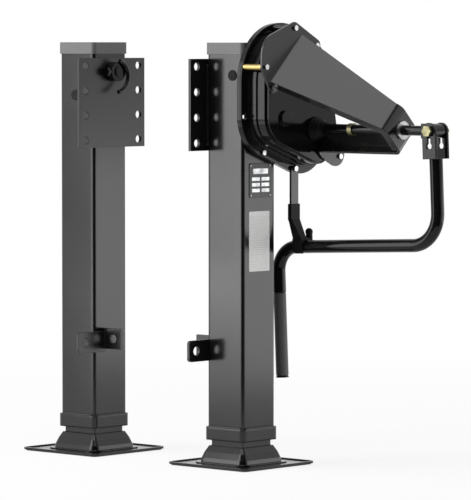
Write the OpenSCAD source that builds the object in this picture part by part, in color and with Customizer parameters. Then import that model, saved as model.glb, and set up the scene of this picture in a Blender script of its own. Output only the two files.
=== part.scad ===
// Landing gear for a semi trailer: a geared drive leg with its folding crank, and a follower leg.
// Millimetres. +Z is up, +X points outboard from the drive leg, and -Y is the near side in the photo.
// The origin is under the drive leg's foot, on the ground. Both legs are drawn fully retracted.

/* [Leg tubes] */
// Outside width of the square outer tube
tube_w = 106; // [100:1:110]
// Wall of the outer tube
tube_wall = 5; // [3:0.5:6]
// Outer corner radius of the tubes
tube_r = 7; // [6:0.5:8]
// Height of the outer tube's lower end above the ground
tube_bottom = 58; // [56:1:64]
// Height of the outer tube's upper end above the ground
tube_top = 928; // [920:1:950]
// Distance between the axes of the two legs
leg_spacing = 454; // [420:1:600]
// Gap between the inner and the outer tube on each side
slide_gap = 1.5; // [0.5:0.1:2]
// Wall of the inner tube
inner_wall = 5; // [4:0.5:6]
// Height of the inner tube's upper end
inner_top = 690; // [660:1:700]
// Height of the inner tube's lower end
inner_bottom = 16; // [15:0.5:18]

/* [Caps, collars and plates] */
// Wall of the top cap
cap_wall = 3.5; // [2:0.5:4]
// Height of the top cap's skirt
cap_skirt = 26; // [18:1:30]
// Wall of the collar at the outer tube's lower end
collar_wall = 5.5; // [3:0.5:7]
// Height of the collar
collar_h = 29; // [20:1:40]
// Thickness of the collar's wiper lip below the tube
collar_lip = 2; // [1:0.5:3]
// Distance of the bolt holes' axes from the side edges of the mounting plate
plate_edge = 20; // [16:0.5:26]
// Height of the mounting plate
plate_h = 202; // [196:1:215]
// Thickness of the mounting plate
plate_t = 7; // [6:0.5:10]
// Height of the mounting plate's lower edge
plate_bottom = 694; // [690:1:700]
// Distance between the two columns of bolt holes
hole_span = 172; // [160:1:176]
// Distance between bolt holes in a column
hole_pitch = 56; // [50:0.5:58]
// Diameter of the bolt holes
hole_d = 18; // [14:0.5:20]

/* [Brace lugs] */
// Height of the lug's ear
lug_h = 47; // [40:1:60]
// Height of the ear's lower edge above the ground
lug_bottom = 230; // [200:1:300]
// Reach of the ear past the tube's near face
lug_reach = 58; // [50:1:70]
// Reach of the cross tab past the ear's face
tab_reach = 50; // [40:1:60]
// How much the cross tab stands above the ear
tab_rise = 7; // [0:1:12]
// Distance of the cross tab from the leg axis
tab_y = 20; // [15:1:30]
// Diameter of the lug holes
lug_hole_d = 20; // [14:0.5:22]

/* [Feet] */
// Side of the square foot plate
foot_w = 235; // [210:1:250]
// Thickness of the foot plate's sheet
foot_t = 5; // [4:0.5:7]
// Height of the foot plate's upturned rim above its sheet
foot_rim = 2.5; // [2:0.5:8]
// Corner radius of the foot plate
foot_r = 16; // [10:1:25]
// Outside width of the dome where it meets the plate
dome_base_w = 138; // [132:1:146]
// Gap between the dome's mouth and the inner tube
dome_gap = 2.2; // [1.8:0.1:3]
// Wall of the dome
dome_wall = 2.5; // [2:0.5:3]
// Height of the dome's mouth above the ground
dome_top = 43; // [41:0.5:48]
// Diameter of the foot pin
foot_pin_d = 20; // [14:0.5:22]
// Height of the foot pin's axis
foot_pin_z = 28; // [27:0.5:30]

/* [Screw jack] */
// Diameter of the spindle
spindle_d = 32; // [26:0.5:38]
// Diameter of the spindle's upper journal
journal_d = 26; // [20:0.5:28]
// Height of the spindle's lower end
spindle_bottom = 100; // [90:1:140]
// Height of the underside of the bearing plate
bearing_plate_z = 800; // [790:1:804]
// Thickness of the bearing plate
bearing_plate_t = 12; // [8:0.5:14]
// Height of the thrust bearing
thrust_h = 14; // [8:0.5:18]
// Height of the spindle nut
nut_h = 42; // [30:1:60]
// Height of the cross shaft's axis
cross_z = 865; // [862:0.5:868]
// Diameter of the cross shaft
cross_d = 22; // [16:0.5:24]
// Module of the bevel gears
bevel_m = 3; // [2.8:0.1:3]
// Length of the drive leg's cross shaft past its plate
stub_reach = 45; // [30:1:60]

/* [Gearbox] */
// Module of the spur gears
spur_m = 3; // [2.8:0.1:3]
// Face width of the spur gears
gear_w = 16; // [10:1:18]
// Depth of the pan that carries the gears
pan_d = 13; // [12:1:20]
// Depth of the cover
cover_d = 60; // [58:1:80]
// Wall of the pan and the cover
case_wall = 4; // [3:0.5:5]
// Thickness of the cover's flange
flange_t = 4; // [3:0.5:6]
// Inset of the cover's first step from the flange edge
step_1 = 16; // [16:0.5:18]
// Inset of the cover's second step from the flange edge
step_2 = 22; // [21:0.5:23]
// Inset of the flange screws from the flange edge
screw_inset = 8; // [7:0.5:9]
// Shank diameter of the screws
screw_d = 6.5; // [6:0.5:8]
// Distance of the crank shaft's axis to the side of the drive leg's axis
shaft_y = 105; // [100:1:110]
// Height of the crank shaft's axis
shaft_z = 743; // [735:1:745]

/* [Crank] */
// Diameter of the crank shaft
shaft_d = 22; // [16:0.5:24]
// Distance of the clevis pin from the drive leg's axis
pin_x = 465; // [450:1:520]
// Diameter of the clevis pin
pin_d = 12; // [10:0.5:14]
// Distance of the bracket's end plate from the drive leg's axis
end_x = 368; // [350:1:390]
// Thickness of the bracket's sheet
sheet_t = 5; // [4:0.5:6]
// Width of the bracket at its end plate
bracket_w = 75; // [66:1:84]
// Outside diameter of the crank tube
crank_d = 29; // [24:0.5:30]
// Wall of the crank tube
crank_wall = 3; // [2:0.5:4]
// Depth of the crank arm below the clevis pin
crank_drop = 245; // [230:1:270]
// Throw of the crank, from the clevis pin to the grip's axis
crank_throw = 460; // [440:1:480]
// Tilt of the folded crank
crank_tilt = 2.5; // [0:0.1:4]
// Outside diameter of the grip
grip_d = 28; // [26:0.5:38]
// Length of the grip
grip_l = 186; // [120:1:190]
// Width of the crank holder's strap
strap_w = 24; // [20:1:30]
// Thickness of the crank holder's strap
strap_t = 5; // [3:0.5:6]

/* [Fits] */
// Radial clearance of a shaft that turns in a bore
run_gap = 0.05; // [0.02:0.01:0.1]
// Clearance between faces that pass each other
pass_gap = 0.3; // [0.2:0.05:0.5]

/* [Hidden] */
$fn = 64;
half = tube_w / 2;
bore_w = tube_w - 2 * tube_wall;
bore_r = max(1, tube_r - tube_wall);
inner_w = bore_w - 2 * slide_gap;
inner_r = max(2, bore_r);
inner_bore = inner_w - 2 * inner_wall;
collar_w = tube_w + 2 * collar_wall;
collar_bottom = tube_bottom - collar_lip;
plate_mid = plate_bottom + plate_h / 2;
plate_w = hole_span + 2 * plate_edge;
bush_d = cross_d + 14;

// Bevel pair in each leg: teeth, pitch radii at the large end, face and tooth heights
pinion_n = 12;
gear_n = 24;
pinion_r = bevel_m * pinion_n / 2;
gear_r = bevel_m * gear_n / 2;
bevel_face = 13;
bevel_add = 0.85;
bevel_ded = 1.25;
bevel_slack = 0.6;
gear_plane_z = cross_z - pinion_r;
blank_t = 11;
tip_room = bevel_m * bevel_add + 1.5;

// Spur train: input pinion and big gear, then small gear and output gear
input_n = 16;
big_n = 53;
small_n = 18;
output_n = 27;
input_dist = spur_m * (input_n + big_n) / 2;
output_dist = spur_m * (small_n + output_n) / 2;
spur_slack = 0.3;

// Gearbox outline in the (Y, Z) plane: three circles, counter-clockwise
case_circles = [[118, 729, 87], [53, 845, 130], [14, 772, 91]];
// Straight sides start this far inside the circles, so that each one crosses them cleanly
belt_lap = 0.05;
pan_x = half;
flange_x = pan_x + pan_d;
front_x = flange_x + cover_d;
pan_flange = 9;
step_x = flange_x + flange_t + 26;
// The front plate of the cover is thick enough for its rounded edge and the screws of the bracket
front_step = 8;
front_t = front_step + case_wall;
output_x = flange_x + 6;
input_x = output_x + gear_w + 6;

// The intermediate axis lies where the two centre distances meet
line_yz = [shaft_y, shaft_z - cross_z];
line_l = norm(line_yz);
along = (output_dist * output_dist - input_dist * input_dist + line_l * line_l) / (2 * line_l);
across = sqrt(max(0, output_dist * output_dist - along * along));
mid_yz = [0, cross_z] + line_yz / line_l * along
    + [-line_yz[1], line_yz[0]] / line_l * across;
mid_pin_d = 16;

// Point on a gearbox circle, inset from its edge
function on_case(i, angle, inset) =
    [case_circles[i][0], case_circles[i][1]]
    + (case_circles[i][2] - inset) * [cos(angle), sin(angle)];
spacer_yz = [on_case(1, 164, screw_inset - 1), on_case(1, 101, screw_inset + 1),
    on_case(0, 321.8, screw_inset)];
strap_yz = on_case(0, 252, screw_inset);
flange_yz = [on_case(1, 45, screw_inset), on_case(2, 181, screw_inset), on_case(2, 256, screw_inset),
    strap_yz];
spacer_d = 2.1 * screw_d;

// Rounded square, drawn from squares and circles so that its corners stay true arcs
module rounded_square(w, r) {
    square([w - 2 * r, w], center = true);
    square([w, w - 2 * r], center = true);
    for (x = [-1, 1], y = [-1, 1])
        translate([x, y] * (w / 2 - r)) circle(r);
}

module rounded_bar(w, r, z0, z1) {
    translate([0, 0, z0]) linear_extrude(z1 - z0) rounded_square(w, r);
}

// Point where the outer tangent from circle a to circle b touches a, for a counter-clockwise outline
function tangent_dir(a, b) =
    let (d = [b[0] - a[0], b[1] - a[1]], l = norm(d), s = (a[2] - b[2]) / l)
    [d[1], -d[0]] / l * sqrt(1 - s * s) + d / l * s;

// Outline around circles [x, y, r] in counter-clockwise order, each grown by -inset
module belt(circles, inset = 0) {
    n = len(circles);
    c = [for (k = circles) [k[0], k[1], k[2] - inset]];
    polygon([for (i = [0:n - 1], e = [0, 1])
        let (a = c[i], b = c[(i + 1) % n], t = tangent_dir(a, b), p = e == 0 ? a : b)
        [p[0], p[1]] + (p[2] - belt_lap) * t]);
    for (k = c) translate([k[0], k[1]]) circle(k[2]);
}

// Extrudes a (Y, Z) outline along X
module along_x(x0, x1) {
    translate([x0, 0, 0]) rotate([90, 0, 90]) linear_extrude(x1 - x0) children();
}

// Round bar along X, through the point yz
module rod_x(yz, d, x0, x1) {
    translate([x0, yz[0], yz[1]]) rotate([0, 90, 0]) cylinder(d = d, h = x1 - x0);
}

// Round bar along Y, through the point xz
module rod_y(xz, d, y0, y1) {
    translate([xz[0], y1, xz[1]]) rotate([90, 0, 0]) cylinder(d = d, h = y1 - y0);
}

// Six-sided head or nut along X
module hex_x(yz, across_flats, x0, x1) {
    translate([x0, yz[0], yz[1]]) rotate([0, 90, 0])
        cylinder(d = across_flats / cos(30), h = x1 - x0, $fn = 6);
}

// The follower leg is the drive leg's mirror image
module on_follower() {
    translate([-leg_spacing, 0, 0]) mirror([1, 0, 0]) children();
}

// Half angle of an involute tooth at a radius, in degrees
function inv_deg(a) = tan(a) * 180 / PI - a;
function tooth_half(n, r, slack, rho) =
    let (base = r * cos(20), a = rho <= base ? 0 : acos(base / rho))
    90 / n - slack / (2 * r) * 180 / PI + inv_deg(20) - inv_deg(a);

// Spur gear outline with a tooth centred on the first axis
module spur_outline(n, m, slack) {
    r = n * m / 2;
    root = r - 1.25 * m;
    tip = r + 0.95 * m;
    low = max(root, r * cos(20));
    rho = [root, low, low + (tip - low) / 3, low + (tip - low) * 2 / 3, tip];
    polygon([for (i = [0:n - 1], side = [-1, 1], k = [0:4])
        let (q = side < 0 ? rho[k] : rho[4 - k], a = i * 360 / n + side * tooth_half(n, r, slack, q))
        q * [cos(a), sin(a)]]);
}

module spur(n, m, yz, turn, x0, x1) {
    along_x(x0, x1) translate(yz) rotate(turn) spur_outline(n, m, spur_slack);
}

// Straight bevel gear: every tooth runs to the apex, so its planar section is extruded to a point.
// Behind the pitch plane the teeth run straight back, to leave room for the mate's tips.
module bevel_teeth(n, r, mate_r, back = 0) {
    apex = mate_r;
    cone = atan(r / apex);
    virtual_r = r / cos(cone);
    virtual_n = n / cos(cone);
    level = [-bevel_ded, -0.6, 0, bevel_add / 2, bevel_add] * bevel_m;
    h = bevel_face * cos(cone);
    section = [for (i = [0:n - 1], side = [-1, 1], k = [0:4])
        let (v = side < 0 ? level[k] : level[4 - k],
            s = apex / (apex - v * sin(cone)),
            rad = (r + v * cos(cone)) * s,
            thick = (virtual_r + v) * tooth_half(virtual_n, virtual_r, bevel_slack, virtual_r + v) * s,
            a = i * 360 / n + side * thick / rad)
        rad * [cos(a), sin(a)]];
    linear_extrude(h, scale = 1 - h / apex) polygon(section);
    if (back > 0) translate([0, 0, -back]) linear_extrude(back) polygon(section);
}

// Legs

module outer_tube(plug) {
    difference() {
        rounded_bar(tube_w, tube_r, tube_bottom, tube_top);
        rounded_bar(bore_w, bore_r, tube_bottom - 1, tube_top + 1);
        rod_x([0, cross_z], bush_d, -tube_w, tube_w);
        rod_y(plug, plug_d, -tube_w, 0);
    }
}
drive_plug = [0.21 * tube_w, cross_z - 5];
follower_plug = [0.05 * tube_w, cross_z - 53];
plug_d = 18;

module tube_plug(plug) {
    rod_y(plug, plug_d, -half, -half + tube_wall);
    rod_y(plug, plug_d + 5, -half - 2, -half);
}

module top_cap() {
    difference() {
        rounded_bar(tube_w + 2 * cap_wall, tube_r + cap_wall, tube_top + cap_wall - cap_skirt, tube_top + cap_wall);
        rounded_bar(tube_w, tube_r, tube_top - cap_skirt, tube_top);
    }
}

// The drive leg's cap is cut away where the gearbox pan lies on the tube
module notched_cap() {
    difference() {
        top_cap();
        along_x(half, flange_x) belt(case_circles, step_1 - case_wall - 0.5);
    }
}

module collar() {
    difference() {
        rounded_bar(collar_w, tube_r + collar_wall, collar_bottom, collar_bottom + collar_h);
        rounded_bar(tube_w, tube_r, tube_bottom, collar_bottom + collar_h + 1);
        rounded_bar(inner_w + 2 * slide_gap, inner_r, collar_bottom - 1, tube_bottom + 1);
    }
}

module mount_plate() {
    difference() {
        along_x(-half - plate_t, -half) translate([0, plate_mid]) square([plate_w, plate_h], center = true);
        for (y = [-1, 1], k = [-1.5:1:1.5])
            rod_x([y * hole_span / 2, plate_mid + k * hole_pitch], hole_d, -half - plate_t - 1, -half + 1);
        rod_x([0, cross_z], bush_d, -half - plate_t - 1, -half + 1);
    }
}

module brace_lug() {
    ear_end = half + lug_reach;
    hole_y = half + lug_reach * 0.6;
    tab_mid = -half - plate_t - tab_reach * 0.55;
    lug_r = 8;
    difference() {
        union() {
            along_x(-half - plate_t, -half)
                belt([[-ear_end + lug_r, lug_bottom + lug_r, lug_r], [-tab_y - lug_r, lug_bottom + lug_r, lug_r],
                    [-tab_y - lug_r, lug_bottom + lug_h - lug_r, lug_r],
                    [-ear_end + lug_r, lug_bottom + lug_h - lug_r, lug_r]]);
            translate([-half - plate_t - tab_reach, -tab_y - plate_t, lug_bottom + tab_rise])
                cube([tab_reach + plate_t, plate_t, lug_h]);
        }
        rod_x([-hole_y, lug_bottom + lug_h / 2], lug_hole_d, -half - plate_t - 1, -half + 1);
        rod_y([tab_mid, lug_bottom + tab_rise + lug_h / 2], lug_hole_d, -tab_y - plate_t - 1, -tab_y + 1);
    }
}

module bearing_plate() {
    difference() {
        rounded_bar(bore_w, bore_r, bearing_plate_z, bearing_plate_z + bearing_plate_t);
        translate([0, 0, bearing_plate_z - 1]) cylinder(d = journal_d + 2 * run_gap, h = bearing_plate_t + 2);
    }
}

module thrust_bearing() {
    translate([0, 0, bearing_plate_z - thrust_h]) difference() {
        cylinder(d = journal_d + 30, h = thrust_h);
        translate([0, 0, -1]) cylinder(d = journal_d + 2 * run_gap, h = thrust_h + 2);
    }
}

module shaft_bushes() {
    for (x = [-half - plate_t - 2, half - tube_wall - 2])
        difference() {
            rod_x([0, cross_z], bush_d, x, x < 0 ? -half + tube_wall + 2 : half + case_wall);
            rod_x([0, cross_z], cross_d + 2 * run_gap, x - 1, x + tube_w);
        }
}

module inner_tube() {
    difference() {
        rounded_bar(inner_w, inner_r, inner_bottom, inner_top);
        rounded_bar(inner_bore, 1.5, inner_bottom - 1, inner_top + 1);
        rod_y([0, foot_pin_z], foot_pin_d + 2 * run_gap, -tube_w, tube_w);
    }
}

module spindle_nut() {
    difference() {
        rounded_bar(inner_bore, 1.5, inner_top - nut_h, inner_top);
        translate([0, 0, inner_top - nut_h - 1]) cylinder(d = spindle_d + 2 * run_gap, h = nut_h + 2);
    }
}

module spindle() {
    shoulder_z = bearing_plate_z - thrust_h - run_gap;
    shoulder_h = 8;
    translate([0, 0, spindle_bottom]) cylinder(d = spindle_d, h = shoulder_z - shoulder_h - spindle_bottom);
    translate([0, 0, shoulder_z - shoulder_h]) cylinder(d = journal_d + 20, h = shoulder_h);
    translate([0, 0, shoulder_z]) cylinder(d = journal_d, h = gear_plane_z - shoulder_z);
}

module bevel_gear() {
    hub_z = bearing_plate_z + bearing_plate_t + run_gap;
    difference() {
        union() {
            translate([0, 0, gear_plane_z]) rotate(180 / gear_n) bevel_teeth(gear_n, gear_r, pinion_r, tip_room);
            translate([0, 0, gear_plane_z - blank_t]) cylinder(r = gear_r + 4, h = blank_t - tip_room);
            translate([0, 0, hub_z]) cylinder(d = journal_d + 16, h = gear_plane_z - blank_t - hub_z);
        }
        translate([0, 0, hub_z - 1]) cylinder(d = journal_d, h = gear_plane_z - hub_z + 1);
    }
}

module bevel_pinion() {
    difference() {
        union() {
            translate([gear_r, 0, cross_z]) rotate([0, -90, 0]) bevel_teeth(pinion_n, pinion_r, gear_r);
            rod_x([0, cross_z], cross_d + 6, gear_r, half - tube_wall - 3);
        }
        rod_x([0, cross_z], cross_d, 0, half);
    }
}

// Foot: plate with an upturned rim, pressed dome, pin and the two ears that carry it
ear_t = 8;
ear_y = inner_bore / 2 - 2;
plate_top = foot_t;

module foot_plate() {
    rounded_bar(foot_w - 2 * foot_t, foot_r - foot_t, 0, plate_top);
    difference() {
        rounded_bar(foot_w, foot_r, plate_top, plate_top + foot_rim);
        rounded_bar(foot_w - 2 * foot_t, foot_r - foot_t, plate_top - 1, plate_top + foot_rim + 1);
    }
    difference() {
        rounded_bar(foot_w, foot_r, foot_t / 2, plate_top);
        rounded_bar(foot_w - 2 * foot_t, foot_r - foot_t, 0, plate_top + 1);
    }
    for (y = [-1, 1])
        difference() {
            translate([0, y * (ear_y - ear_t / 2), 0]) union() {
                translate([-foot_pin_d, -ear_t / 2, plate_top]) cube([2 * foot_pin_d, ear_t, foot_pin_z - plate_top]);
                rod_y([0, foot_pin_z], 2 * foot_pin_d - 12, -ear_t / 2, ear_t / 2);
            }
            rod_y([0, foot_pin_z], foot_pin_d, -tube_w, tube_w);
        }
}

module foot_pin() {
    rod_y([0, foot_pin_z], foot_pin_d, -inner_w / 2 + 1, inner_w / 2 - 1);
}

// Dome outline at each height: share of the height, then share of the flare from mouth to base
dome_rings = [[0, 1], [0.3, 0.84], [0.65, 0.5], [1, 0]];
mouth_w = inner_w + 2 * dome_gap;
// Width of the flat edge round the dome's base
dome_edge = 10;

module dome_solid(shrink, z0, z1) {
    for (k = [0:2]) hull() for (e = [k, k + 1])
        translate([0, 0, z0 + (z1 - z0) * dome_rings[e][0]])
            linear_extrude(0.01)
                rounded_square(mouth_w + 2 * dome_wall - 2 * shrink
                    + (dome_base_w - mouth_w - 2 * dome_wall) * dome_rings[e][1],
                    4 + 13 * dome_rings[e][1], $fn = 32);
}

module foot_dome() {
    difference() {
        union() {
            dome_solid(0, plate_top, dome_top);
            rounded_bar(dome_base_w + 2 * dome_edge, 17 + dome_edge, plate_top, plate_top + dome_wall);
        }
        dome_solid(dome_wall, plate_top - 0.1, dome_top + 0.1);
    }
}

// Gearbox

module gearbox_pan() {
    color("#222426") gearbox_pan_shape();
}

module gearbox_pan_shape() {
    difference() {
        union() {
            difference() {
                union() {
                    along_x(pan_x, flange_x) belt(case_circles, step_1 - case_wall);
                    along_x(flange_x - pan_flange, flange_x) belt(case_circles);
                }
                along_x(pan_x + case_wall, flange_x + 1) belt(case_circles, step_1);
            }
            rod_x([shaft_y, shaft_z], shaft_d + 16, pan_x, flange_x);
            rod_x(mid_yz, mid_pin_d + 14, pan_x, flange_x + 2);
        }
        rod_x([0, cross_z], bush_d, pan_x - 1, pan_x + case_wall + 1);
        rod_x([shaft_y, shaft_z], shaft_d + 2 * run_gap, pan_x + case_wall, flange_x + 1);
        rod_x(mid_yz, mid_pin_d, pan_x + case_wall, flange_x + 3);
        for (p = concat(flange_yz, spacer_yz)) rod_x(p, screw_d, pan_x + 2, flange_x + 1);
    }
}

boss_yz = [4, 767];

module gearbox_cover() {
    color("#222426") gearbox_cover_shape();
}

module gearbox_cover_shape() {
    difference() {
        union() {
            along_x(flange_x, flange_x + flange_t) belt(case_circles);
            along_x(flange_x, flange_x + flange_t + 8) belt(case_circles, step_1);
            along_x(flange_x, step_x) belt(case_circles, (step_1 + step_2) / 2);
            along_x(flange_x, front_x - front_step) belt(case_circles, step_2);
            along_x(flange_x, front_x) belt(case_circles, step_2 + 5);
            rod_x(mid_yz, mid_pin_d + 20, front_x - 1, front_x + 3);
            rod_x(boss_yz, 34, front_x - 1, front_x + 6);
        }
        along_x(flange_x - 1, front_x - front_t) belt(case_circles, step_2 + case_wall);
        rod_x(mid_yz, mid_pin_d, front_x - front_t - 1, front_x);
        rod_x([shaft_y, shaft_z], shaft_d + 2 * run_gap, front_x - front_t - 1, front_x + 1);
        for (p = concat(flange_yz, spacer_yz)) rod_x(p, screw_d, flange_x - 1, flange_x + flange_t + 1);
        for (p = bracket_yz) rod_x(p, screw_d, front_x - case_wall - 1, front_x + 1);
    }
}

// Cross-drilled domed screw with its head against x
module case_screw(yz, x, length) {
    head_h = 5;
    rod_x(yz, screw_d, x - length, x);
    hex_x(yz, screw_d * 1.7, x, x + head_h);
}

module gearbox_screws() {
    color("#d5d8da") gearbox_screws_shape();
}

module gearbox_screws_shape() {
    for (p = flange_yz)
        case_screw(p, p == strap_yz ? flange_x + flange_t + strap_t : flange_x + flange_t,
            p == strap_yz ? flange_t + strap_t + pan_d - 3 : flange_t + pan_d - 3);
    for (p = bracket_yz) case_screw(p, front_x + sheet_t, sheet_t + case_wall);
    for (p = spacer_yz) case_screw(p, front_x + sheet_t, sheet_t + cover_d + pan_d - 3);
}

module spacer_sleeves() {
    color("#c9a94a") spacer_sleeves_shape();
}

module spacer_sleeves_shape() {
    for (p = spacer_yz)
        difference() {
            rod_x(p, spacer_d, flange_x + flange_t, front_x);
            rod_x(p, screw_d, flange_x, front_x + 1);
        }
}

module intermediate_pin() {
    color("#9a9fa3") intermediate_pin_shape();
}

module intermediate_pin_shape() {
    rod_x(mid_yz, mid_pin_d, pan_x + case_wall, front_x);
}

// Gear phases: a tooth of the driver lies on the line of centres, in a gap of its mate
turn_in = atan2(mid_yz[1] - shaft_z, mid_yz[0] - shaft_y);
turn_out = atan2(cross_z - mid_yz[1], -mid_yz[0]);

module output_gear() {
    color("#9a9fa3") output_gear_shape();
}

module output_gear_shape() {
    difference() {
        spur(output_n, spur_m, [0, cross_z], turn_out + 180 + 180 / output_n, output_x, output_x + gear_w);
        rod_x([0, cross_z], cross_d, output_x - 1, output_x + gear_w + 1);
    }
}

module intermediate_gears() {
    color("#9a9fa3") intermediate_gears_shape();
}

module intermediate_gears_shape() {
    difference() {
        union() {
            spur(small_n, spur_m, mid_yz, turn_out, output_x, output_x + gear_w);
            rod_x(mid_yz, mid_pin_d + 14, output_x - 2, input_x + gear_w + 2);
            spur(big_n, spur_m, mid_yz, turn_in + 180 + 180 / big_n, input_x, input_x + gear_w);
        }
        rod_x(mid_yz, mid_pin_d + 2 * run_gap, output_x - 3, input_x + gear_w + 3);
        for (a = [0:60:300])
            rod_x(mid_yz + spur_m * big_n * 0.32 * [cos(a), sin(a)], 24, input_x - 1, input_x + gear_w + 1);
    }
}

module input_pinion() {
    color("#9a9fa3") input_pinion_shape();
}

module input_pinion_shape() {
    difference() {
        union() {
            spur(input_n, spur_m, [shaft_y, shaft_z], turn_in, input_x, input_x + gear_w);
            rod_x([shaft_y, shaft_z], shaft_d + 14, input_x - 6, input_x + gear_w);
        }
        rod_x([shaft_y, shaft_z], shaft_d + 2 * run_gap, input_x - 7, input_x + gear_w + 1);
    }
}

module drive_output_shaft() {
    color("#9a9fa3") drive_output_shaft_shape();
}

module drive_output_shaft_shape() {
    difference() {
        rod_x([0, cross_z], cross_d, -half - plate_t - stub_reach, output_x + gear_w + 1);
        rod_y([-half - plate_t - stub_reach + 14, cross_z], 10, -tube_w, tube_w);
    }
}

// Crank bracket: a bent sheet turned 45 degrees about the crank shaft. In its own frame X runs along the
// shaft, the second axis lies across the sheet and the third points from the shaft to the raised plate.
rise = 183;
raised_from = -36;
raised_to = 110;
bw = bracket_w / 2;
// The sheet is bent round from its slope to the end plate, and from there to the lower sheet
bend_r = 26;
heel_r = 15;
shoulder_r = 15;
slope = atan2(rise - bw, end_x - front_x);
bend_lead = bend_r * tan((90 - slope) / 2);
slope_l = norm([end_x - front_x, rise - bw]) - bend_lead;
end_face = end_x + sheet_t;
lip_w = 18;
function to_sheet(yz) =
    [yz[0] - shaft_y + yz[1] - shaft_z, yz[1] - shaft_z - yz[0] + shaft_y] * sqrt(0.5);
function from_sheet(tn) =
    [shaft_y, shaft_z] + [tn[0] - tn[1], tn[0] + tn[1]] * sqrt(0.5);
upper_tn = [[-38, 168], [126, 132]];
lower_tn = [[-8, -56]];
bracket_yz = [for (p = concat(upper_tn, lower_tn)) from_sheet(p)];

module on_sheet() {
    translate([0, shaft_y, shaft_z]) rotate([45, 0, 0]) children();
}

module shaft_bracket() {
    color("#55585a") shaft_bracket_shape();
}

// Part of a bent sheet, in the bracket's frame: radii r0 to r1 about [x, n], from angle a0 on, across t0 to t1
module sheet_bend(xn, r0, r1, a0, angle, t0, t1) {
    translate([xn[0], 0, xn[1]]) rotate([90, 0, 0]) rotate([0, 0, a0]) rotate_extrude(angle = angle)
        translate([r0, -t1]) square([r1 - r0, t1 - t0]);
}

module shaft_bracket_shape() {
    spacer_tn = [for (p = spacer_yz) to_sheet(p)];
    bend_xn = [end_face - bend_r, bw - bend_lead];
    heel_xn = [end_face - heel_r, -bw + heel_r];
    shoulder_xn = [front_x + shoulder_r, -bw + sheet_t - shoulder_r];
    lip_from = 16;
    lip_edge = raised_from - (bw + raised_from) * lip_from / slope_l;
    difference() {
        on_sheet() {
            along_x(front_x, front_x + sheet_t)
                belt([[upper_tn[0][0], upper_tn[0][1], 13], [upper_tn[1][0], upper_tn[1][1], 14],
                    [spacer_tn[1][0], spacer_tn[1][1], 13], [20, 207, 50],
                    [spacer_tn[0][0], spacer_tn[0][1], 13]]);
            along_x(front_x, front_x + sheet_t)
                belt([[spacer_tn[2][0] - 4, spacer_tn[2][1] + 13, 28], [22, shoulder_xn[1] - 14, 10],
                    [-22, shoulder_xn[1] - 14, 10]]);
            translate([front_x, -34, shoulder_xn[1] - 12]) cube([sheet_t, 68, 12]);
            sheet_bend(shoulder_xn, shoulder_r - sheet_t, shoulder_r, 90, 90, -34, 34);
            translate([front_x + sheet_t, 0, rise]) rotate([0, slope, 0]) {
                translate([0, 0, -sheet_t]) linear_extrude(sheet_t)
                    polygon([[0, raised_from], [slope_l, -bw], [slope_l, bw], [0, raised_to]]);
                translate([0, 0, -lip_w]) linear_extrude(lip_w)
                    polygon([[lip_from, lip_edge], [slope_l, -bw], [slope_l, -bw + sheet_t],
                        [lip_from, lip_edge + sheet_t]]);
            }
            sheet_bend(bend_xn, bend_r - sheet_t, bend_r, 0, 90 - slope, -bw, bw);
            sheet_bend(bend_xn, bend_r - lip_w, bend_r, 0, 90 - slope, -bw, -bw + sheet_t);
            translate([end_x, -bw, heel_xn[1]]) cube([sheet_t, bracket_w, bend_xn[1] - heel_xn[1]]);
            translate([end_face - lip_w, -bw, -bw + heel_r]) cube([lip_w, sheet_t, bend_xn[1] - heel_xn[1]]);
            sheet_bend(heel_xn, heel_r - sheet_t, heel_r, -90, 90, -bw, bw);
            translate([shoulder_xn[0], -bw, -bw]) cube([heel_xn[0] - shoulder_xn[0], bracket_w, sheet_t]);
        }
        on_sheet() translate([end_x - 28, bw / 2, -bw - 1]) cylinder(d = 10, h = sheet_t + 2);
        rod_x([shaft_y, shaft_z], end_bush_d, end_x - 1, end_face + 1);
        for (p = concat(bracket_yz, spacer_yz)) rod_x(p, screw_d, front_x - 1, front_x + sheet_t + 1);
    }
}
end_bush_d = shaft_d + 14;

module end_bush() {
    color("#9a9fa3") end_bush_shape();
}

module end_bush_shape() {
    difference() {
        union() {
            rod_x([shaft_y, shaft_z], end_bush_d, end_x - 4, end_x + sheet_t);
            rod_x([shaft_y, shaft_z], end_bush_d + 4, end_x + sheet_t, end_x + sheet_t + 5);
        }
        rod_x([shaft_y, shaft_z], shaft_d + 2 * run_gap, end_x - 5, end_x + sheet_t + 10);
    }
}

module shaft_boot() {
    color("#141414") shaft_boot_shape();
}

module shaft_boot_shape() {
    bore = shaft_d / 2 + pass_gap;
    translate([front_x, shaft_y, shaft_z]) rotate([0, 90, 0]) rotate_extrude()
        polygon([[bore, 0], [bore + 15, 0], [bore + 15, 4], [bore + 10, 7], [bore + 13, 11], [bore + 7, 15],
            [bore + 10, 19], [bore + 4, 24], [bore + 4, 30], [bore, 30]]);
}

// Crank

cheek_in = 17;
cheek_t = 6;
cheek_r = 18;
cheek_drop = 60;
tang_d = 32;
bend_1 = 70;
bend_2 = 55;
grip_lead = 46;
core_d = crank_d - 2 * crank_wall;
grip_top = crank_drop + bend_2 + grip_lead;

// Frame of the crank: its origin is the clevis pin, and it leans with the folded crank
module at_pin() {
    translate([pin_x, shaft_y, shaft_z]) rotate([0, -crank_tilt, 0]) children();
}

module crank_shaft() {
    color("#9a9fa3") crank_shaft_shape();
}

module crank_shaft_shape() {
    tang = cheek_in - pass_gap;
    rod_x([shaft_y, shaft_z], shaft_d, pan_x + case_wall + 1, pin_x - 24);
    difference() {
        union() {
            rod_y([pin_x, shaft_z], tang_d, shaft_y - tang, shaft_y + tang);
            translate([pin_x - 26, shaft_y - tang, shaft_z - tang_d / 2]) cube([26, 2 * tang, tang_d]);
        }
        rod_y([pin_x, shaft_z], pin_d, shaft_y - tube_w, shaft_y + tube_w);
    }
}

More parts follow.
